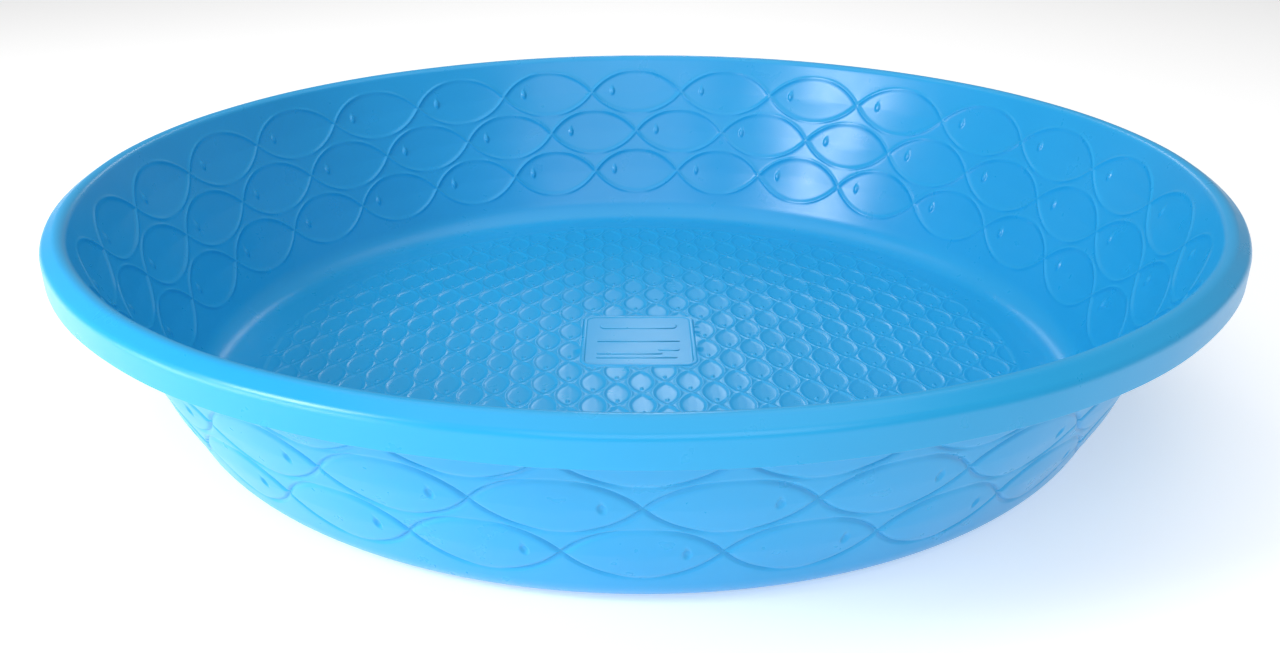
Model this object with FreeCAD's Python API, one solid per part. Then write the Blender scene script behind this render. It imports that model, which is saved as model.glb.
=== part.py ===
import FreeCAD, Part
import math
import os

os.makedirs("parts", exist_ok=True)

# Round one-piece wading pool in moulded plastic sheet.
# Millimetres, +Z up. The origin is the centre of the flat underside.

# Overall size
POOL_DIAMETER = 1143.0
POOL_HEIGHT = 213.0
SHEET = 2.0

# Side wall: a cone that leans outwards, set by its outer face
WALL_LEAN = math.radians(23.5)
WALL_MID_RADIUS = 509.0
WALL_MID_HEIGHT = 114.0
HEEL_RADIUS = 40.0

# Rolled rim: crest arc, sloping top, shoulder arc, hanging skirt
CREST_RADIUS = 9.0
SHOULDER_RADIUS = 8.0
TOP_SLOPE = math.radians(33.0)
SKIRT_BOTTOM = 181.0
RIM_ARCS = 24

# Fish pressed outwards in the side wall
FISH_ROWS = 3
FISH_PER_ROW = 26
ROW_RISE = 51.7
WALL_FISH_LENGTH = 116.0
WALL_FISH_HEIGHT = 58.0
WALL_FISH_DEPTH = 1.2
WALL_EYE_RADIUS = 3.0
WALL_EYE_FORWARD = 33.0

# Small fish dished into the raised floor pattern
PATTERN_RADIUS = 405.0
PATTERN_THICKNESS = 1.0
PATTERN_TURN = 1.5
FLOOR_FISH_PITCH = 53.0
FLOOR_COLUMN_PITCH = 25.0
FLOOR_FISH_LENGTH = 46.0
FLOOR_FISH_WIDTH = 22.0
FLOOR_FISH_DEPTH = 0.7
PATTERN_EDGE = 6.0

# Blank label plate
PLATE_WIDTH = 126.0
PLATE_DEPTH = 134.0
PLATE_OFFSET_Y = 22.0
PLATE_CORNER = 14.0
PLATE_THICKNESS = 2.0
PLATE_FRAME = 5.0
PLATE_SINK = 1.0
PLATE_GAP = 2.0

# Tool bodies reach this far past the faces that they trim
REACH = 3.0
PRISM_REACH = 20.0

NORMAL = (math.cos(WALL_LEAN), -math.sin(WALL_LEAN))
SLOPE = (math.sin(WALL_LEAN), math.cos(WALL_LEAN))


def point(radius, height):
    return FreeCAD.Vector(radius, 0, height)


def on_arc(centre, radius, angle):
    return point(centre[0] + radius * math.cos(angle), centre[1] + radius * math.sin(angle))


def heel_centre():
    rise = WALL_MID_HEIGHT - HEEL_RADIUS
    reach = (HEEL_RADIUS - NORMAL[1] * rise) / NORMAL[0]
    return (WALL_MID_RADIUS - reach, HEEL_RADIUS)


def crest_centre():
    height = POOL_HEIGHT - CREST_RADIUS
    line_radius = WALL_MID_RADIUS - SHEET * NORMAL[0]
    line_height = WALL_MID_HEIGHT - SHEET * NORMAL[1]
    reach = (CREST_RADIUS - NORMAL[1] * (height - line_height)) / NORMAL[0]
    return (line_radius + reach, height)


def shoulder_centre():
    crest = crest_centre()
    facing = math.pi / 2 - TOP_SLOPE
    radius = POOL_DIAMETER / 2 - SHOULDER_RADIUS
    across = math.cos(facing) * (radius - crest[0])
    height = crest[1] + (CREST_RADIUS - SHOULDER_RADIUS - across) / math.sin(facing)
    return (radius, height)


def ring(edges, arcs=1):
    # A closed outline in the XZ plane turned about the pool's axis, in equal arcs end to end
    origin = FreeCAD.Vector(0, 0, 0)
    upwards = FreeCAD.Vector(0, 0, 1)
    turn = 360 / arcs
    first = Part.Face(Part.Wire(edges)).revolve(origin, upwards, turn)
    if arcs == 1:
        return first
    copies = []
    for number in range(arcs):
        one = first.copy()
        one.rotate(origin, upwards, number * turn)
        copies.append(one)
    return Part.makeCompound(copies)


def arc(centre, radius, start, end):
    middle = (start + end) / 2
    first = on_arc(centre, radius, start)
    last = on_arc(centre, radius, end)
    return Part.Arc(first, on_arc(centre, radius, middle), last).toShape()


def line(start, end):
    return Part.makeLine(start, end)


def arc_band(centre, inner, outer, start, end):
    edges = [
        arc(centre, inner, start, end),
        line(on_arc(centre, inner, end), on_arc(centre, outer, end)),
        arc(centre, outer, end, start),
        line(on_arc(centre, outer, start), on_arc(centre, inner, start)),
    ]
    return ring(edges)


def wall_point(along, outwards):
    # A point of the cone: distance up the slope from the middle row, and out from the outer face
    radius = WALL_MID_RADIUS + along * SLOPE[0] + outwards * NORMAL[0]
    height = WALL_MID_HEIGHT + along * SLOPE[1] + outwards * NORMAL[1]
    return point(radius, height)


def along_at(centre):
    # Distance up the slope at which the cone meets a tangent arc about this centre
    radial = centre[0] - WALL_MID_RADIUS
    upright = centre[1] - WALL_MID_HEIGHT
    return radial * SLOPE[0] + upright * SLOPE[1]


def wall_band(low, high, inner, outer):
    corners = [
        wall_point(low, inner),
        wall_point(high, inner),
        wall_point(high, outer),
        wall_point(low, outer),
    ]
    edges = [line(corners[i], corners[(i + 1) % len(corners)]) for i in range(len(corners))]
    return ring(edges)


def lens_face(length, width):
    # A pointed oval: two equal arcs that meet at the head and the tail
    tail = FreeCAD.Vector(-length / 2, 0, 0)
    head = FreeCAD.Vector(length / 2, 0, 0)
    upper = Part.Arc(tail, FreeCAD.Vector(0, width / 2, 0), head).toShape()
    lower = Part.Arc(head, FreeCAD.Vector(0, -width / 2, 0), tail).toShape()
    return Part.Face(Part.Wire([upper, lower]))


def fish_prism():
    # One wall fish, with its eye left out, standing on the tangent plane
    body = lens_face(WALL_FISH_LENGTH, WALL_FISH_HEIGHT)
    body.translate(FreeCAD.Vector(0, 0, -PRISM_REACH))
    body = body.extrude(FreeCAD.Vector(0, 0, 2 * PRISM_REACH))
    foot = FreeCAD.Vector(WALL_EYE_FORWARD, 0, -PRISM_REACH)
    eye = Part.makeCylinder(WALL_EYE_RADIUS, 2 * PRISM_REACH, foot)
    return body.cut(eye)


def place_on_wall(shape, azimuth, along):
    # Local X runs round the wall, local Y up its slope, local Z outwards
    c = math.cos(azimuth)
    s = math.sin(azimuth)
    spot = wall_point(along, 0)
    frame = FreeCAD.Matrix(
        -s, SLOPE[0] * c, NORMAL[0] * c, spot.x * c,
        c, SLOPE[0] * s, NORMAL[0] * s, spot.x * s,
        0, SLOPE[1], NORMAL[1], spot.z,
        0, 0, 0, 1,
    )
    placed = shape.copy()
    placed.Placement = FreeCAD.Placement(frame)
    return placed


def wall_fish():
    pattern = fish_prism()
    pitch = 2 * math.pi / FISH_PER_ROW
    fish = []
    for row in range(FISH_ROWS):
        level = row - (FISH_ROWS - 1) / 2
        along = level * ROW_RISE / SLOPE[1]
        shift = 0.5 if row % 2 == 0 else 0.0
        for number in range(FISH_PER_ROW):
            fish.append(place_on_wall(pattern, (number + shift) * pitch, along))
    return Part.makeCompound(fish)


def make_floor_panel():
    return Part.makeCylinder(heel_centre()[0], SHEET)


def make_heel_ring():
    return arc_band(heel_centre(), HEEL_RADIUS - SHEET, HEEL_RADIUS, -math.pi / 2, -WALL_LEAN)


def make_side_wall():
    low = along_at(heel_centre())
    high = along_at(crest_centre())
    sheet = wall_band(low, high, -SHEET, WALL_FISH_DEPTH)
    fish = wall_fish()
    outside = wall_band(low - REACH, high + REACH, 0, WALL_FISH_DEPTH + REACH).cut(fish)
    inside = wall_band(low, high, -SHEET - REACH, -SHEET + WALL_FISH_DEPTH).common(fish)
    return sheet.cut(outside).cut(inside)


def make_rim_roll():
    crest = crest_centre()
    shoulder = shoulder_centre()
    start = math.pi - WALL_LEAN
    facing = math.pi / 2 - TOP_SLOPE
    crest_in = CREST_RADIUS - SHEET
    shoulder_in = SHOULDER_RADIUS - SHEET
    edges = [
        arc(crest, CREST_RADIUS, start, facing),
        line(on_arc(crest, CREST_RADIUS, facing), on_arc(shoulder, SHOULDER_RADIUS, facing)),
        arc(shoulder, SHOULDER_RADIUS, facing, 0),
        line(on_arc(shoulder, SHOULDER_RADIUS, 0), on_arc(shoulder, shoulder_in, 0)),
        arc(shoulder, shoulder_in, 0, facing),
        line(on_arc(shoulder, shoulder_in, facing), on_arc(crest, crest_in, facing)),
        arc(crest, crest_in, facing, start),
        line(on_arc(crest, crest_in, start), on_arc(crest, CREST_RADIUS, start)),
    ]
    return ring(edges, RIM_ARCS)


def make_rim_skirt():
    shoulder = shoulder_centre()
    outer_top = on_arc(shoulder, SHOULDER_RADIUS, 0)
    inner_top = on_arc(shoulder, SHOULDER_RADIUS - SHEET, 0)
    outer_low = point(outer_top.x, SKIRT_BOTTOM)
    inner_low = point(inner_top.x, SKIRT_BOTTOM)
    corners = [outer_top, outer_low, inner_low, inner_top]
    edges = [line(corners[i], corners[(i + 1) % len(corners)]) for i in range(len(corners))]
    return ring(edges, RIM_ARCS)


def plate_outline(grow, thickness):
    # A rounded rectangle in the label's place, standing on the floor panel
    width = PLATE_WIDTH + 2 * grow
    depth = PLATE_DEPTH + 2 * grow
    base = FreeCAD.Vector(-width / 2, PLATE_OFFSET_Y - depth / 2, SHEET)
    block = Part.makeBox(width, depth, thickness, base)
    upright = [e for e in block.Edges if abs(e.tangentAt(e.FirstParameter).z) > 0.9]
    return block.makeFillet(PLATE_CORNER + grow, upright)


def make_label_plate():
    plate = plate_outline(0, PLATE_THICKNESS)
    field = plate_outline(-PLATE_FRAME, PLATE_THICKNESS)
    field.translate(FreeCAD.Vector(0, 0, PLATE_THICKNESS - PLATE_SINK))
    return plate.cut(field)


def floor_fish():
    body = lens_face(FLOOR_FISH_LENGTH, FLOOR_FISH_WIDTH)
    body = body.extrude(FreeCAD.Vector(0, 0, PATTERN_THICKNESS))
    body.rotate(FreeCAD.Vector(0, 0, 0), FreeCAD.Vector(0, 0, 1), 90)
    sunk = SHEET + PATTERN_THICKNESS - FLOOR_FISH_DEPTH
    half_width = PLATE_WIDTH / 2 + PLATE_GAP + PATTERN_EDGE + FLOOR_FISH_WIDTH / 2
    half_depth = PLATE_DEPTH / 2 + PLATE_GAP + PATTERN_EDGE + FLOOR_FISH_LENGTH / 2
    columns = int(PATTERN_RADIUS / FLOOR_COLUMN_PITCH)
    rows = int(PATTERN_RADIUS / FLOOR_FISH_PITCH) + 1
    fish = []
    for column in range(-columns, columns + 1):
        x = column * FLOOR_COLUMN_PITCH
        shift = 0.5 if column % 2 else 0.0
        for row in range(-rows, rows + 1):
            y = PLATE_OFFSET_Y + (row + shift) * FLOOR_FISH_PITCH
            reach = math.hypot(abs(x) + FLOOR_FISH_WIDTH / 4, abs(y) + FLOOR_FISH_LENGTH / 4)
            off_plate = abs(x) > half_width or abs(y - PLATE_OFFSET_Y) > half_depth
            if off_plate and reach < PATTERN_RADIUS - PATTERN_EDGE - FLOOR_FISH_WIDTH / 4:
                one = body.copy()
                one.translate(FreeCAD.Vector(x, y, sunk))
                fish.append(one)
    return Part.makeCompound(fish)


def make_floor_pattern():
    disc = Part.makeCylinder(PATTERN_RADIUS, PATTERN_THICKNESS, point(0, SHEET))
    fish = floor_fish()
    fish.rotate(FreeCAD.Vector(0, 0, 0), FreeCAD.Vector(0, 0, 1), PATTERN_TURN)
    window = plate_outline(PLATE_GAP, PATTERN_THICKNESS + REACH)
    return disc.cut(window).cut(fish)


def save(shape, name):
    shape.exportStep("parts/" + name + ".step")


save(make_floor_panel(), "floor_panel")
save(make_heel_ring(), "heel_ring")
save(make_side_wall(), "side_wall")
save(make_rim_roll(), "rim_roll")
save(make_rim_skirt(), "rim_skirt")
save(make_label_plate(), "label_plate")
save(make_floor_pattern(), "floor_pattern")
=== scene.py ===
import math

import bpy
import numpy as np
from mathutils import Euler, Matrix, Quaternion, Vector


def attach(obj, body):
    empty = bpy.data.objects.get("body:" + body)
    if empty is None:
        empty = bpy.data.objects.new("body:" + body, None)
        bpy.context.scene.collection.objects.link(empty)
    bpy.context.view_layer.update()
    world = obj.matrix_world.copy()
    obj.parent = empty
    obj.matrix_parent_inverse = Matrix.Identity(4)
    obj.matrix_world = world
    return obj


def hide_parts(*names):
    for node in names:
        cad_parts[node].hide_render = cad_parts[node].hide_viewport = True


# Visual of a round one-piece wading pool. Sizes are millimetres until a mesh is made.

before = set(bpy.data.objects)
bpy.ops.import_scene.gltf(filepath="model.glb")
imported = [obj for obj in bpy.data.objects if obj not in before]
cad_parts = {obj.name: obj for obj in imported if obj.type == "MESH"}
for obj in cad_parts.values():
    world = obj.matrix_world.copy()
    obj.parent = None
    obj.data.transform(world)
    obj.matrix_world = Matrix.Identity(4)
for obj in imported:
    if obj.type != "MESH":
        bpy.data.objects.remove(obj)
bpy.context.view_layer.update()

# The same driving sizes as the solid model
POOL_RADIUS = 571.5
POOL_HEIGHT = 213.0
SHEET = 2.0
WALL_LEAN = math.radians(23.5)
WALL_MID_RADIUS = 509.0
WALL_MID_HEIGHT = 114.0
HEEL_RADIUS = 40.0
CREST_RADIUS = 9.0
SHOULDER_RADIUS = 8.0
TOP_SLOPE = math.radians(33.0)
SKIRT_BOTTOM = 181.0

# Fish in the side wall
FISH_PER_ROW = 26
FISH_PITCH = 2 * math.pi * WALL_MID_RADIUS / FISH_PER_ROW
ROW_RISE = 51.7
ROW_SPACING = ROW_RISE / math.cos(WALL_LEAN)
FISH_HALF_HEIGHT = 31.0
BODY_DEPTH = 0.5
BODY_DOME = 1.0
BODY_EDGE = 5.0
WALL_EYE = (33.2, 1.5)
WALL_EYE_SIZE = (2.8, 5.0)
WALL_EYE_DEPTH = 1.7
INNER_LINE = (1.7, 1.1)
OUTER_LINE = (1.6, 2.1)
LINE_FADE = 0.25
WALL_RELIEF_FADE = 4.0

# Small fish in the floor
PATTERN_RADIUS = 405.0
PATTERN_LEVEL = 3.0
PATTERN_TURN = math.radians(1.5)
SMALL_PITCH = 53.0
SMALL_COLUMN = 25.0
SMALL_HALF_WIDTH = 14.3
SMALL_DEPTH = 0.8
SMALL_EYE = 12.2
SMALL_EYE_SIZE = (1.5, 2.4)
SMALL_EYE_HEIGHT = 0.8
SMALL_LINE = (1.1, 0.45)

# Label plate: its outline, then the plain bars on it as x, y, half length, half width
PLATE = (126.0, 134.0)
PLATE_Y = 22.0
PLATE_CORNER = 14.0
PLATE_TOP = 4.0
PLATE_BARS = ((0, 38, 44, 7.5), (0, -4, 46, 1.2), (-10, -36, 36, 2.2), (-2, -46, 44, 2.2), (33, -26, 12, 3.0))

# Stage
STAGE_HALF = 9.0
STAGE_LEVEL = -0.0003
AIM_HEIGHT = 0.1

NORMAL = (math.cos(WALL_LEAN), -math.sin(WALL_LEAN))
SLOPE = (math.sin(WALL_LEAN), math.cos(WALL_LEAN))


def smooth(value):
    t = np.clip(value, 0.0, 1.0)
    return t * t * (3.0 - 2.0 * t)


def lens_distance(x, y, half_length, half_height):
    """Distance inside a pointed oval made of two equal arcs, negative outside it."""
    bow = (half_length ** 2 + half_height ** 2) / (2 * half_height)
    drop = bow - half_height
    return bow - np.maximum(np.hypot(x, y + drop), np.hypot(x, y - drop))


def lens_height(x, half_length, half_height):
    """Half height of the oval at x, and how much longer a step across its outline is when taken along y."""
    bow = (half_length ** 2 + half_height ** 2) / (2 * half_height)
    upright = np.sqrt(bow ** 2 - x ** 2)
    return upright - (bow - half_height), bow / upright


# ---------------------------------------------------------------- side wall relief

def along_fish(turn, row):
    """Distance round the wall from the middle of the nearest fish in a row. Outer rows are half a fish on."""
    shift = 0.5 if row else 0.0
    return (turn - shift - np.round(turn - shift)) * FISH_PITCH


def wall_relief(turn, along, line):
    """Outward shift of the wall's face: domed fish bodies, thin outlines and eyes."""
    body = np.zeros_like(along)
    edge = np.zeros_like(along)
    eye = np.zeros_like(along)
    for row in (-1, 0, 1):
        x = along_fish(turn, row)
        y = along - row * ROW_SPACING
        inside = lens_distance(x, y, FISH_PITCH / 2, FISH_HALF_HEIGHT)
        lifted = BODY_DEPTH * smooth((inside - 0.8) / BODY_EDGE)
        domed = BODY_DOME * smooth(inside / FISH_HALF_HEIGHT)
        body = np.maximum(body, lifted + domed)
        towards_tip = smooth((2 * np.abs(x) / FISH_PITCH - 0.1) / 0.45)
        strength = LINE_FADE + (1 - LINE_FADE) * towards_tip
        edge = np.maximum(edge, strength * np.exp(-(inside / line[0]) ** 2))
        reach = np.hypot((x - WALL_EYE[0]) / WALL_EYE_SIZE[0], (y - WALL_EYE[1]) / WALL_EYE_SIZE[1])
        eye = np.maximum(eye, smooth(1.45 - reach))
    return body - line[1] * edge - WALL_EYE_DEPTH * eye


def wall_columns():
    """Azimuths, in fish pitches, packed closer where the eyes are."""
    half = FISH_PITCH / 2
    near, far = WALL_EYE[0] - 4.8, WALL_EYE[0] + 4.8
    spots = np.concatenate([
        np.linspace(0, near, 10, endpoint=False),
        np.linspace(near, far, 11, endpoint=False),
        np.linspace(far, half, 8, endpoint=False),
    ]) / FISH_PITCH
    pitch = np.concatenate([spots, spots + 0.5])
    return np.concatenate([pitch + k for k in range(FISH_PER_ROW)])


def between(low, high, near, middle, slant):
    """Heights between two outlines: close to each one, then round the middle, always in order."""
    room = (high - low) / 2
    wanted = np.array(near)[:, None] * slant[None]
    fit = np.minimum(1.0, 0.55 * room / wanted[-1])
    close = wanted * fit
    core = np.array(middle)[:, None] * np.ones_like(low)[None]
    if len(middle) > 1:
        core = core * np.minimum(1.0, 0.85 * (room - close[-1]) / max(middle))[None]
    centre = (low + high) / 2
    return np.concatenate([low + close, centre + core, (high - close)[::-1]])


def wall_rows(turns, low, high):
    """Distances up the slope of the wall's mesh lines, which follow the outlines of the fish."""
    tops = []
    for row in (-1, 0, 1):
        x = along_fish(turns, row)
        half, slant = lens_height(x, FISH_PITCH / 2, FISH_HALF_HEIGHT)
        half = np.maximum(half, 0.9)
        tops.append((row * ROW_SPACING - half, row * ROW_SPACING + half, slant))
    bottom = np.full_like(turns, low)
    top = np.full_like(turns, high)
    near_plain = [1.0, 2.1, 3.6]
    near_body = [1.2, 2.4, 3.8, 5.6, 8.0, 11.5]
    core_body = [-6.6, -5.0, -3.6, -2.4, -1.2, 0.0, 1.2, 2.4, 3.6, 5.0, 6.6]
    rows = [bottom[None], between(bottom, tops[0][0], near_plain, [0.0], tops[0][2])]
    for i, (under, over, slant) in enumerate(tops):
        rows += [under[None], between(under, over, near_body, core_body, slant), over[None]]
        above = tops[i + 1][0] if i < 2 else top
        gap_slant = slant if i == 2 else np.maximum(slant, tops[i + 1][2])
        rows.append(between(over, above, near_plain, [0.0], gap_slant))
    rows.append(top[None])
    return np.concatenate(rows)


# ---------------------------------------------------------------- profile of the sheet

def arc_rows(centre, radius, start, end, count):
    angle = np.linspace(start, end, count)
    return centre[0] + radius * np.cos(angle), centre[1] + radius * np.sin(angle)


def heel_centre():
    reach = (HEEL_RADIUS - NORMAL[1] * (WALL_MID_HEIGHT - HEEL_RADIUS)) / NORMAL[0]
    return WALL_MID_RADIUS - reach, HEEL_RADIUS


def crest_centre():
    height = POOL_HEIGHT - CREST_RADIUS
    radius = WALL_MID_RADIUS - SHEET * NORMAL[0]
    rise = height - (WALL_MID_HEIGHT - SHEET * NORMAL[1])
    return radius + (CREST_RADIUS - NORMAL[1] * rise) / NORMAL[0], height


def shoulder_centre():
    crest = crest_centre()
    facing = math.pi / 2 - TOP_SLOPE
    radius = POOL_RADIUS - SHOULDER_RADIUS
    across = math.cos(facing) * (radius - crest[0])
    return radius, crest[1] + (CREST_RADIUS - SHOULDER_RADIUS - across) / math.sin(facing)


def joined(*runs):
    """Runs of (radius, height) set end to end."""
    return np.concatenate([run[0] for run in runs]), np.concatenate([run[1] for run in runs])


def along_at(centre):
    return (centre[0] - WALL_MID_RADIUS) * SLOPE[0] + (centre[1] - WALL_MID_HEIGHT) * SLOPE[1]


def profile(turns):
    """Named strips of the closed cross-section, each as (radius, height) grids of rows by columns."""
    heel, crest, shoulder = heel_centre(), crest_centre(), shoulder_centre()
    facing = math.pi / 2 - TOP_SLOPE
    one = np.ones_like(turns)
    along = wall_rows(turns, along_at(heel), along_at(crest))

    def ring(radius, height):
        return np.asarray(radius)[:, None] * one[None], np.asarray(height)[:, None] * one[None]

    def wall(offset, line):
        out = offset + wall_relief(turns[None] + 0 * along, along, line)
        fade = smooth((along - along[:1]) / WALL_RELIEF_FADE) * smooth((along[-1:] - along) / WALL_RELIEF_FADE)
        out = offset + (out - offset) * fade
        radius = WALL_MID_RADIUS + along * SLOPE[0] + out * NORMAL[0]
        height = WALL_MID_HEIGHT + along * SLOPE[1] + out * NORMAL[1]
        return radius, height

    crest_in, shoulder_in = CREST_RADIUS - SHEET, SHOULDER_RADIUS - SHEET
    margin = np.linspace(PATTERN_RADIUS, heel[0], 7)
    step = smooth((margin - PATTERN_RADIUS) / 10.0)
    edge = (POOL_RADIUS - SHEET / 2, SKIRT_BOTTOM + SHEET / 2)
    under = np.linspace(heel[0], PATTERN_RADIUS, 4)
    top_line = np.linspace(0, 1, 5)[1:-1]
    across, up = math.cos(facing), math.sin(facing)
    crest_end = [crest[0] + CREST_RADIUS * across, crest[1] + CREST_RADIUS * up]
    shoulder_top = [shoulder[0] + SHOULDER_RADIUS * across, shoulder[1] + SHOULDER_RADIUS * up]
    outer_wall = wall(0.0, OUTER_LINE)
    inner_crest = arc_rows(crest, CREST_RADIUS, math.pi - WALL_LEAN, facing, 14)
    flat = [end + (top - end) * top_line for end, top in zip(crest_end, shoulder_top)]
    shoulder_arc = arc_rows(shoulder, SHOULDER_RADIUS, facing, 0, 10)
    roof_shoulder = arc_rows(shoulder, shoulder_in, 0, facing, 6)
    roof_crest = arc_rows(crest, crest_in, facing, math.pi - WALL_LEAN, 9)
    edge_arc = arc_rows(edge, SHEET / 2, 0, -math.pi, 7)
    skirt = np.linspace(shoulder[1], edge[1], 6)
    return [
        ("margin", *ring(margin, PATTERN_LEVEL + (SHEET - PATTERN_LEVEL) * step)),
        ("heel_in", *ring(*arc_rows(heel, HEEL_RADIUS - SHEET, -math.pi / 2, -WALL_LEAN, 14))),
        ("wall_in", *wall(-SHEET, INNER_LINE)),
        ("roll_out", *ring(*joined(inner_crest, flat, shoulder_arc))),
        ("skirt_out", *ring(*joined((np.full(5, POOL_RADIUS), skirt[:-1]), edge_arc))),
        ("skirt_in", *ring(np.full(5, POOL_RADIUS - SHEET), skirt[-2::-1])),
        ("roll_in", *ring(*joined(roof_shoulder, roof_crest))),
        ("wall_out", outer_wall[0][::-1], outer_wall[1][::-1]),
        ("heel_out", *ring(*arc_rows(heel, HEEL_RADIUS, -WALL_LEAN, -math.pi / 2, 14))),
        ("under", *ring(under, np.zeros(4))),
    ]


def sway(azimuth, height):
    """The slight unevenness of a thin moulding, nothing at the foot."""
    broad = 0.45 * np.sin(5 * azimuth + 0.7)
    medium = 0.30 * np.sin(11 * azimuth + height / 30.0)
    fine = 0.16 * np.sin(23 * azimuth - height / 17.0)
    wave = broad + medium + fine
    return wave * smooth((height - 20.0) / 60.0)


def build_shell():
    """The whole sheet as one grid: places and normals, and the first and last row of each strip."""
    turns = wall_columns()
    strips = profile(turns)
    spans = {}
    total = 0
    for name, radius, height in strips:
        spans[name] = (total, total + len(radius) - 1)
        total += len(radius)
    radius = np.concatenate([s[1] for s in strips])
    height = np.concatenate([s[2] for s in strips])
    azimuth = turns[None] * 2 * math.pi / FISH_PER_ROW + 0 * radius
    radius = radius + sway(azimuth, height)
    place = np.stack([radius * np.cos(azimuth), radius * np.sin(azimuth), height], -1)
    return place, strip_normals(place, spans), spans


def strip_normals(place, spans):
    """Normals across the whole grid. A row shared by two strips is skipped, so a seam shades as one."""
    ahead = place.copy()
    behind = place.copy()
    ahead[:-1] = place[1:]
    behind[1:] = place[:-1]
    for first, last in spans.values():
        if last + 2 < len(place) and np.allclose(place[last], place[last + 1], atol=1e-6):
            ahead[last] = place[last + 2]
            behind[last + 1] = place[last - 1]
    rowwise = ahead - behind
    around = np.roll(place, -1, axis=1) - np.roll(place, 1, axis=1)
    normal = np.cross(around, rowwise)
    return normal / np.maximum(np.linalg.norm(normal, axis=-1, keepdims=True), 1e-12)


# ---------------------------------------------------------------- meshes

def make_mesh(name, vertices, faces, normals, material, nodes):
    """Adds a piece: vertices in millimetres, faces as an array of quads or triangles."""
    mesh = bpy.data.meshes.new(name)
    mesh.vertices.add(len(vertices))
    mesh.vertices.foreach_set("co", (vertices * 0.001).astype(np.float32).ravel())
    sizes = np.concatenate([np.full(len(f), f.shape[1]) for f in faces])
    corners = np.concatenate([f.ravel() for f in faces])
    mesh.loops.add(len(corners))
    mesh.loops.foreach_set("vertex_index", corners.astype(np.int32))
    mesh.polygons.add(len(sizes))
    mesh.polygons.foreach_set("loop_start", np.concatenate([[0], np.cumsum(sizes)[:-1]]).astype(np.int32))
    mesh.polygons.foreach_set("use_smooth", np.ones(len(sizes), bool))
    mesh.update(calc_edges=True)
    mesh.normals_split_custom_set_from_vertices(normals.astype(np.float32))
    mesh.materials.append(material)
    piece = bpy.data.objects.new(name, mesh)
    bpy.context.scene.collection.objects.link(piece)
    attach(piece, "root")
    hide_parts(*nodes)
    return piece


def add_ring(name, shell, upper, lower, material, nodes, columns=None):
    """A closed piece from an inner run of rows and an outer run, all round or between two columns."""
    place, normal, _ = shell
    rows = np.array(list(range(upper[0], upper[1] + 1)) + list(range(lower[0], lower[1] + 1)))
    shared = [np.allclose(place[row], place[row - 1], atol=1e-6) for row in rows]
    rows = rows[[not (twin and row - 1 in rows) for twin, row in zip(shared, rows)]]
    count = place.shape[1]
    whole = columns is None
    picked = np.arange(count) if whole else np.arange(columns[0], columns[1] + 1) % count
    grid = np.arange(len(rows) * len(picked)).reshape(len(rows), len(picked))
    right = np.roll(grid, -1, axis=1) if whole else grid[:, 1:]
    left = grid if whole else grid[:, :-1]
    below = np.roll(left, -1, axis=0)
    below_right = np.roll(right, -1, axis=0)
    quads = np.stack([left, right, below_right, below], -1).reshape(-1, 4)
    faces = [quads]
    if not whole:
        half = len(rows) // 2
        inner, outer = grid[:half], grid[half:][::-1]
        for side, turned in ((0, False), (-1, True)):
            a, b = inner[:, side], outer[:, side]
            cap = np.stack([a[:-1], a[1:], b[1:], b[:-1]], -1)
            faces.append(cap[:, ::-1] if turned else cap)
    vertices = place[rows][:, picked].reshape(-1, 3)
    normals = normal[rows][:, picked].reshape(-1, 3)
    return make_mesh(name, vertices, faces, normals, material, nodes)


# ---------------------------------------------------------------- floor

def plate_distance(x, y, grow=0.0):
    """Distance outside the label plate's rounded outline, negative inside it."""
    corner = PLATE_CORNER + grow
    dx = np.abs(x) - (PLATE[0] / 2 + grow - corner)
    dy = np.abs(y - PLATE_Y) - (PLATE[1] / 2 + grow - corner)
    return np.hypot(np.maximum(dx, 0), np.maximum(dy, 0)) + np.minimum(np.maximum(dx, dy), 0) - corner


def small_fish_place(x, y, column):
    """Place relative to the nearest fish in a column. Every other column is half a fish on."""
    shift = np.where(np.mod(column, 2) > 0.5, 0.5, 0.0)
    row = (y - PLATE_Y) / SMALL_PITCH - shift
    return x - column * SMALL_COLUMN, (row - np.round(row)) * SMALL_PITCH


def floor_relief(x, y):
    """Drop of the floor's face below its net of outlines, in the pattern's own axes."""
    drop = np.zeros_like(x)
    line = np.zeros_like(x)
    eye = np.zeros_like(x)
    nearest = np.round(x / SMALL_COLUMN)
    for side in (-1, 0, 1):
        dx, dy = small_fish_place(x, y, nearest + side)
        inside = lens_distance(dy, dx, SMALL_PITCH / 2, SMALL_HALF_WIDTH)
        drop = np.maximum(drop, SMALL_DEPTH * smooth((inside - 1.0) / 3.6))
        line = np.maximum(line, np.exp(-(inside / SMALL_LINE[0]) ** 2))
        reach = np.hypot(dx / SMALL_EYE_SIZE[0], (dy + SMALL_PITCH / 2 - SMALL_EYE) / SMALL_EYE_SIZE[1])
        eye = np.maximum(eye, smooth(1.5 - reach))
    return drop - SMALL_LINE[1] * line - SMALL_EYE_HEIGHT * eye


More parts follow.
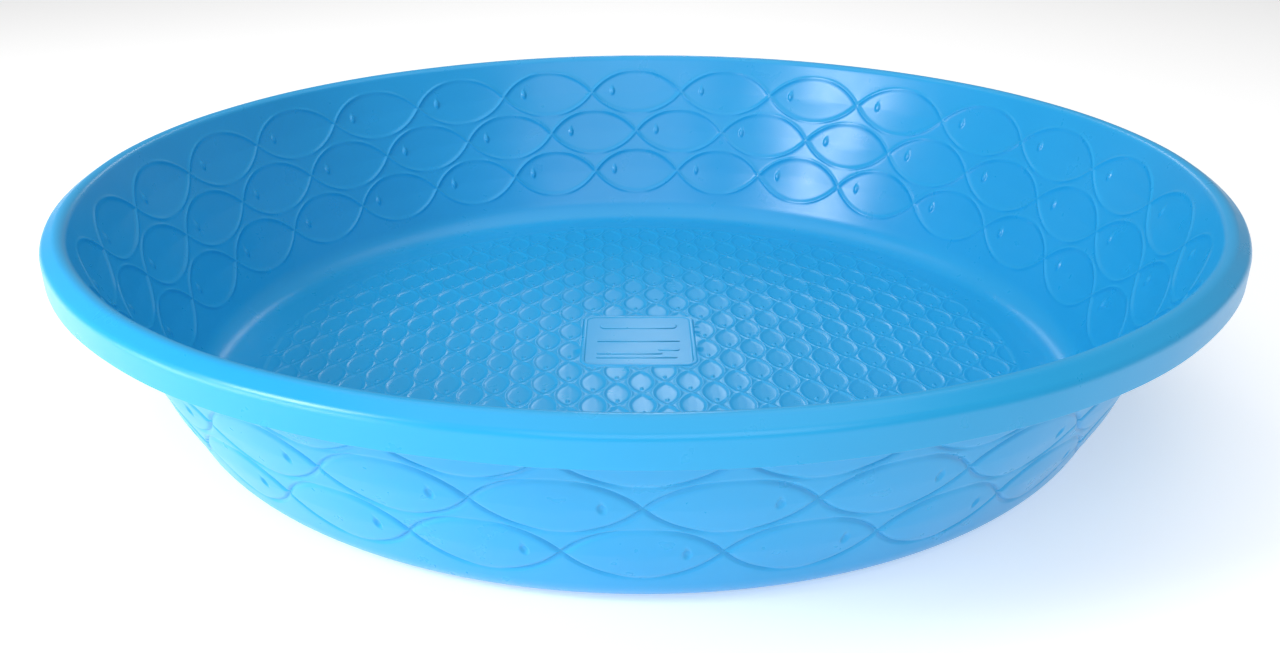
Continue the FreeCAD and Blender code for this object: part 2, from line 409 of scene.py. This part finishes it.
def floor_lines(reach):
    """Mesh lines across the floor: levels along the fish, and x places that follow the outlines."""
    period = np.array([0, 2.4, 4.8, 7.2, 9.4, 10.6, 11.6, 12.6, 13.8, 16.2, 19, 21.5, 24.2])
    period = np.concatenate([period, period + SMALL_PITCH / 2])
    first = int(reach / SMALL_PITCH) + 2
    levels = np.concatenate([period + k * SMALL_PITCH for k in range(-first, first)]) + PLATE_Y - 26.5
    levels = levels[np.abs(levels) < reach + 3]
    columns = int(reach / SMALL_COLUMN) + 2
    near_outline, near_middle = [1.0, 2.2, 4.4], [-2.6, -1.2, 0.0, 1.2, 2.6]
    outlines = []
    for column in range(-columns, columns + 1):
        _, along = small_fish_place(0 * levels, levels, column)
        half, slant = lens_height(along, SMALL_PITCH / 2, SMALL_HALF_WIDTH)
        half = np.maximum(half, 0.5)
        outlines.append((column * SMALL_COLUMN - half, column * SMALL_COLUMN + half, slant))
    places = []
    for i, (low, high, slant) in enumerate(outlines):
        places += [low[None], between(low, high, near_outline, near_middle, slant), high[None]]
        if i + 1 < len(outlines):
            places.append(between(high, outlines[i + 1][0], [0.8], [0.0], slant))
    places = np.maximum.accumulate(np.concatenate(places), axis=0)
    return levels, places


def floor_mesh(name, places, levels, split, material, nodes, sign):
    """One half of the floor's face, cut to the pattern's circle and closed underneath."""
    x = places
    y = levels[None] + 0 * places
    radius = np.hypot(x, y)
    quad_radius = (radius[:-1, :-1] + radius[1:, :-1] + radius[:-1, 1:] + radius[1:, 1:]) / 4
    inside = quad_radius < PATTERN_RADIUS
    middle = (x[:-1, :-1] + x[1:, 1:]) / 2
    column = np.arange(x.shape[0] - 1)[:, None] + 0 * middle
    inside &= (column < split) if sign < 0 else (column >= split)
    grid = np.arange(x.size).reshape(x.shape)
    quads = np.stack([grid[:-1, :-1], grid[1:, :-1], grid[1:, 1:], grid[:-1, 1:]], -1)[inside]
    flat_x, flat_y = x.ravel(), y.ravel()
    edges = np.concatenate([quads[:, [0, 1]], quads[:, [1, 2]], quads[:, [2, 3]], quads[:, [3, 0]]])
    keys = np.sort(edges, axis=1)
    _, index, counts = np.unique(keys[:, 0] * x.size + keys[:, 1], return_index=True, return_counts=True)
    border = edges[index[counts == 1]]
    rim = np.unique(border)
    far = np.hypot(flat_x[rim], flat_y[rim])
    snap = rim[far > PATTERN_RADIUS - 6.5]
    scale = PATTERN_RADIUS / np.hypot(flat_x[snap], flat_y[snap])
    flat_x, flat_y = flat_x.copy(), flat_y.copy()
    flat_x[snap] *= scale
    flat_y[snap] *= scale
    used, compact = np.unique(quads, return_inverse=True)
    quads = compact.reshape(-1, 4)
    renumber = np.full(x.size, -1)
    renumber[used] = np.arange(len(used))
    border = renumber[border]
    px, py = flat_x[used], flat_y[used]

    def level(ax, ay):
        fade = smooth((PATTERN_RADIUS - 1.0 - np.hypot(ax, ay)) / 5.0)
        clear = smooth((plate_distance(*turned(ax, ay)) - 1.0) / 2.0)
        return PATTERN_LEVEL - floor_relief(ax, ay) * fade * clear

    pz = level(px, py)
    d = 0.05
    slope_x = (level(px + d, py) - level(px - d, py)) / (2 * d)
    slope_y = (level(px, py + d) - level(px, py - d)) / (2 * d)
    normals = np.stack([-slope_x, -slope_y, np.ones_like(px)], -1)
    wx, wy = turned(px, py)
    nx, ny = turned(normals[:, 0], normals[:, 1])
    normals = np.stack([nx, ny, normals[:, 2]], -1)
    normals /= np.linalg.norm(normals, axis=1, keepdims=True)
    top = np.stack([wx, wy, pz], -1)
    ring = np.unique(border)
    count = len(top)
    lower = np.full(count, -1)
    lower[ring] = count + np.arange(len(ring))
    bottom = top[ring].copy()
    bottom[:, 2] = SHEET / 2
    hub = bottom.mean(0)
    vertices = np.concatenate([top, bottom, hub[None]])
    down = np.zeros((len(ring) + 1, 3))
    down[:, 2] = -1.0
    normals = np.concatenate([normals, down])
    sides = np.stack([border[:, 1], border[:, 0], lower[border[:, 0]], lower[border[:, 1]]], -1)
    fan = np.stack([lower[border[:, 1]], lower[border[:, 0]], np.full(len(border), len(vertices) - 1)], -1)
    return make_mesh(name, vertices, [quads, sides, fan], normals, material, nodes)


def turned(x, y):
    c, s = math.cos(PATTERN_TURN), math.sin(PATTERN_TURN)
    return x * c - y * s, x * s + y * c


def disc(name, radius, level, rows, columns, material, nodes):
    """A plain closed disc under the floor's face."""
    radii = np.linspace(0, radius, rows + 1)[1:]
    angle = np.linspace(0, 2 * math.pi, columns, endpoint=False)
    x, y = radii[:, None] * np.cos(angle), radii[:, None] * np.sin(angle)
    low = np.stack([x, y, 0 * x], -1).reshape(-1, 3)
    grid = np.arange(len(low)).reshape(rows, columns)
    nxt = np.roll(grid, -1, axis=1)
    quads = np.stack([grid[:-1], nxt[:-1], nxt[1:], grid[1:]], -1).reshape(-1, 4)
    rim = low[grid[-1]] + [0, 0, level]
    base = len(low)
    upper = base + np.arange(columns)
    centre_low, centre_up = base + columns, base + columns + 1
    vertices = np.concatenate([low, rim, [[0, 0, 0], [0, 0, level]]])
    up_next = np.roll(upper, -1)
    side = np.stack([grid[-1], nxt[-1], up_next, upper], -1)
    cap_low = np.stack([nxt[0], grid[0], np.full(columns, centre_low)], -1)
    cap_up = np.stack([upper, up_next, np.full(columns, centre_up)], -1)
    normals = np.zeros_like(vertices)
    normals[:, 2] = -1.0
    normals[base:centre_low, 2] = 1.0
    normals[centre_up, 2] = 1.0
    return make_mesh(name, vertices, [quads, side, cap_low, cap_up], normals, material, nodes)


# ---------------------------------------------------------------- label plate

def rounded(half_x, half_y, corner, steps=9):
    """Points of a rounded rectangle, counter-clockwise."""
    points = []
    for quarter, (sx, sy) in enumerate(((1, 1), (-1, 1), (-1, -1), (1, -1))):
        for angle in np.linspace(0, math.pi / 2, steps) + quarter * math.pi / 2:
            x = sx * (half_x - corner) + corner * math.cos(angle)
            y = sy * (half_y - corner) + corner * math.sin(angle)
            points.append((x, y))
    return np.array(points)


def stacked(name, half_x, half_y, corner, steps, centre, material, nodes):
    """A closed low relief from rounded outlines, each inset by so much at such a level."""
    rings = []
    for inset, level in steps:
        points = rounded(half_x - inset, half_y - inset, max(corner - inset, 0.4)) + centre
        rings.append(np.column_stack([points, np.full(len(points), level)]))
    rings = np.array(rings)
    count = rings.shape[1]
    grid = np.arange(rings.shape[0] * count).reshape(rings.shape[0], count)
    nxt = np.roll(grid, -1, axis=1)
    quads = np.stack([grid[:-1], nxt[:-1], nxt[1:], grid[1:]], -1).reshape(-1, 4)
    vertices = rings.reshape(-1, 3)
    hub_low, hub_up = len(vertices), len(vertices) + 1
    middle = [[centre[0], centre[1], steps[0][1]], [centre[0], centre[1], steps[-1][1]]]
    vertices = np.concatenate([vertices, middle])
    cap_low = np.stack([nxt[0], grid[0], np.full(count, hub_low)], -1)
    cap_up = np.stack([grid[-1], nxt[-1], np.full(count, hub_up)], -1)
    outward = np.gradient(rings[..., 2], axis=0)
    inward = np.gradient(np.array([s[0] for s in steps], float))[:, None] + 0 * outward
    across = rings - rings.mean(axis=1, keepdims=True)
    across[..., 2] = 0
    across /= np.maximum(np.linalg.norm(across, axis=-1, keepdims=True), 1e-9)
    normals = across * outward[..., None]
    normals[..., 2] = inward
    normals = normals.reshape(-1, 3)
    size = np.linalg.norm(normals, axis=1, keepdims=True)
    normals = np.where(size > 1e-9, normals / np.maximum(size, 1e-9), [0, 0, 1.0])
    normals = np.concatenate([normals, [[0, 0, -1.0], [0, 0, 1.0]]])
    return make_mesh(name, vertices, [quads, cap_low, cap_up], normals, material, nodes)


def add_plate(material):
    """The framed blank plate and the plain raised bars on it."""
    nodes = ["label_plate"]
    base = PATTERN_LEVEL - 1.5
    steps = [
        (-1.0, base), (-0.6, PLATE_TOP - 1.0), (0.3, PLATE_TOP - 0.3),
        (1.2, PLATE_TOP), (3.4, PLATE_TOP), (4.4, PLATE_TOP - 0.3),
        (5.2, PLATE_TOP - 1.0), (6.2, PLATE_TOP - 1.1), (12.0, PLATE_TOP - 1.1),
    ]
    half_x, half_y = PLATE[0] / 2, PLATE[1] / 2
    stacked("label_plate_frame", half_x, half_y, PLATE_CORNER, steps, (0, PLATE_Y), material, nodes)
    floor = PLATE_TOP - 1.15
    for number, (x, y, half_x, half_y) in enumerate(PLATE_BARS):
        crown = 1.1 if half_y > 2 else 0.95
        steps = [(0, floor - 0.3), (0.15, floor + 0.55), (0.9, floor + 0.85), (crown, floor + 0.85)]
        name = f"label_plate_bar_{number}"
        stacked(name, half_x, half_y, half_y, steps, (x, PLATE_Y + y), material, nodes)


# ---------------------------------------------------------------- material

def plastic():
    """Satin polyethylene: even pigment with a faint cloudiness, and a gloss that varies slightly."""
    material = bpy.data.materials.new("pool_plastic")
    material.use_nodes = True
    nodes, links = material.node_tree.nodes, material.node_tree.links
    shader = nodes["Principled BSDF"]
    where = nodes.new("ShaderNodeTexCoord")
    cloud = nodes.new("ShaderNodeTexNoise")
    cloud.inputs["Scale"].default_value = 6.0
    cloud.inputs["Detail"].default_value = 3.0
    links.new(where.outputs["Object"], cloud.inputs["Vector"])
    tint = nodes.new("ShaderNodeValToRGB")
    tint.color_ramp.elements[0].position = 0.3
    tint.color_ramp.elements[0].color = (0.012, 0.345, 0.690, 1)
    tint.color_ramp.elements[1].position = 0.7
    tint.color_ramp.elements[1].color = (0.016, 0.362, 0.720, 1)
    links.new(cloud.outputs["Fac"], tint.inputs["Fac"])
    links.new(tint.outputs["Color"], shader.inputs["Base Color"])
    grain = nodes.new("ShaderNodeTexNoise")
    grain.inputs["Scale"].default_value = 40.0
    grain.inputs["Detail"].default_value = 4.0
    links.new(where.outputs["Object"], grain.inputs["Vector"])
    gloss = nodes.new("ShaderNodeMapRange")
    gloss.inputs["To Min"].default_value = 0.24
    gloss.inputs["To Max"].default_value = 0.34
    links.new(grain.outputs["Fac"], gloss.inputs["Value"])
    links.new(gloss.outputs["Result"], shader.inputs["Roughness"])
    shader.inputs["IOR"].default_value = 1.48
    return material


# ---------------------------------------------------------------- build

pool = plastic()
shell = build_shell()
spans = shell[2]
quarter = shell[0].shape[1] // 4
for number, side in enumerate(("right_back", "left_back", "left_front", "right_front")):
    columns = (number * quarter, (number + 1) * quarter)
    add_ring("side_wall_" + side, shell, spans["wall_in"], spans["wall_out"], pool, ["side_wall"], columns)
heel_upper = (spans["margin"][0], spans["heel_in"][1])
heel_lower = (spans["heel_out"][0], spans["under"][1])
add_ring("heel", shell, heel_upper, heel_lower, pool, ["heel_ring", "floor_panel"])
add_ring("rim_roll", shell, spans["roll_out"], spans["roll_in"], pool, ["rim_roll"])
add_ring("rim_skirt", shell, spans["skirt_out"], spans["skirt_in"], pool, ["rim_skirt"])
levels, places = floor_lines(PATTERN_RADIUS)
middle = places.shape[0] // 2
floor_mesh("floor_left", places, levels, middle, pool, ["floor_pattern"], -1)
floor_mesh("floor_right", places, levels, middle, pool, ["floor_pattern"], 1)
disc("floor_underside", PATTERN_RADIUS, SHEET / 2 - 0.1, 12, quarter, pool, ["floor_panel"])
add_plate(pool)

# ---------------------------------------------------------------- stage, light and camera

def stage_floor():
    """A plain pale floor just under the pool, in metres."""
    mesh = bpy.data.meshes.new("stage_floor")
    corners = [(x * STAGE_HALF, y * STAGE_HALF, STAGE_LEVEL) for x, y in ((-1, -1), (1, -1), (1, 1), (-1, 1))]
    mesh.from_pydata(corners, [], [(0, 1, 2, 3)])
    material = bpy.data.materials.new("stage_white")
    material.use_nodes = True
    shader = material.node_tree.nodes["Principled BSDF"]
    shader.inputs["Base Color"].default_value = (0.93, 0.93, 0.93, 1)
    shader.inputs["Roughness"].default_value = 0.9
    shader.inputs["Emission Color"].default_value = (1, 1, 1, 1)
    shader.inputs["Emission Strength"].default_value = 0.35
    mesh.materials.append(material)
    plane = bpy.data.objects.new("stage_floor", mesh)
    bpy.context.scene.collection.objects.link(plane)


def area_light(name, direction, distance, width, height, power):
    """A soft box in metres and watts, aimed at the middle of the pool and not seen by the camera."""
    data = bpy.data.lights.new(name, "AREA")
    data.shape = "RECTANGLE"
    data.size = width
    data.size_y = height
    data.energy = power
    lamp = bpy.data.objects.new(name, data)
    aim = Vector(direction).normalized()
    lamp.location = Vector((0, 0, AIM_HEIGHT)) + aim * distance
    lamp.rotation_mode = "QUATERNION"
    lamp.rotation_quaternion = aim.to_track_quat("Z", "Y")
    lamp.visible_camera = False
    bpy.context.scene.collection.objects.link(lamp)


stage_floor()
world = bpy.data.worlds.new("studio")
world.use_nodes = True
background = world.node_tree.nodes["Background"]
background.inputs["Color"].default_value = (1.0, 1.0, 1.0, 1)
background.inputs["Strength"].default_value = 0.30
bpy.context.scene.world = world
area_light("overhead", (0.0, 0.05, 1.0), 2.6, 3.2, 3.2, 32)
area_light("key", (-0.72, -0.42, 0.50), 3.2, 0.9, 0.9, 50)
area_light("front", (0.10, -0.80, 0.60), 3.2, 2.6, 1.6, 26)
area_light("low_left", (-0.85, -0.50, 0.10), 2.0, 1.6, 0.5, 14)
area_light("back_strip", (0.02, 0.87, 0.50), 3.2, 0.35, 0.9, 5)

CAMERA_PLACE = (-0.0076, -1.2324, 0.5675)
CAMERA_HEADING = math.radians(-1.155)
CAMERA_PITCH = math.radians(-23.384)
CAMERA_ROLL = math.radians(-0.593)
camera_data = bpy.data.cameras.new("camera")
camera_data.lens = 34.73
camera_data.sensor_width = 36.0
camera_data.shift_x = 0.0244
camera_data.shift_y = -0.0036
camera_data.clip_start = 0.01
camera = bpy.data.objects.new("camera", camera_data)
camera.location = CAMERA_PLACE
camera.rotation_mode = "QUATERNION"
turn = Euler((math.pi / 2 + CAMERA_PITCH, 0, -CAMERA_HEADING)).to_quaternion()
camera.rotation_quaternion = turn @ Quaternion((0, 0, 1), CAMERA_ROLL)
bpy.context.scene.collection.objects.link(camera)
bpy.context.scene.camera = camera
bpy.context.scene.view_settings.view_transform = "Standard"
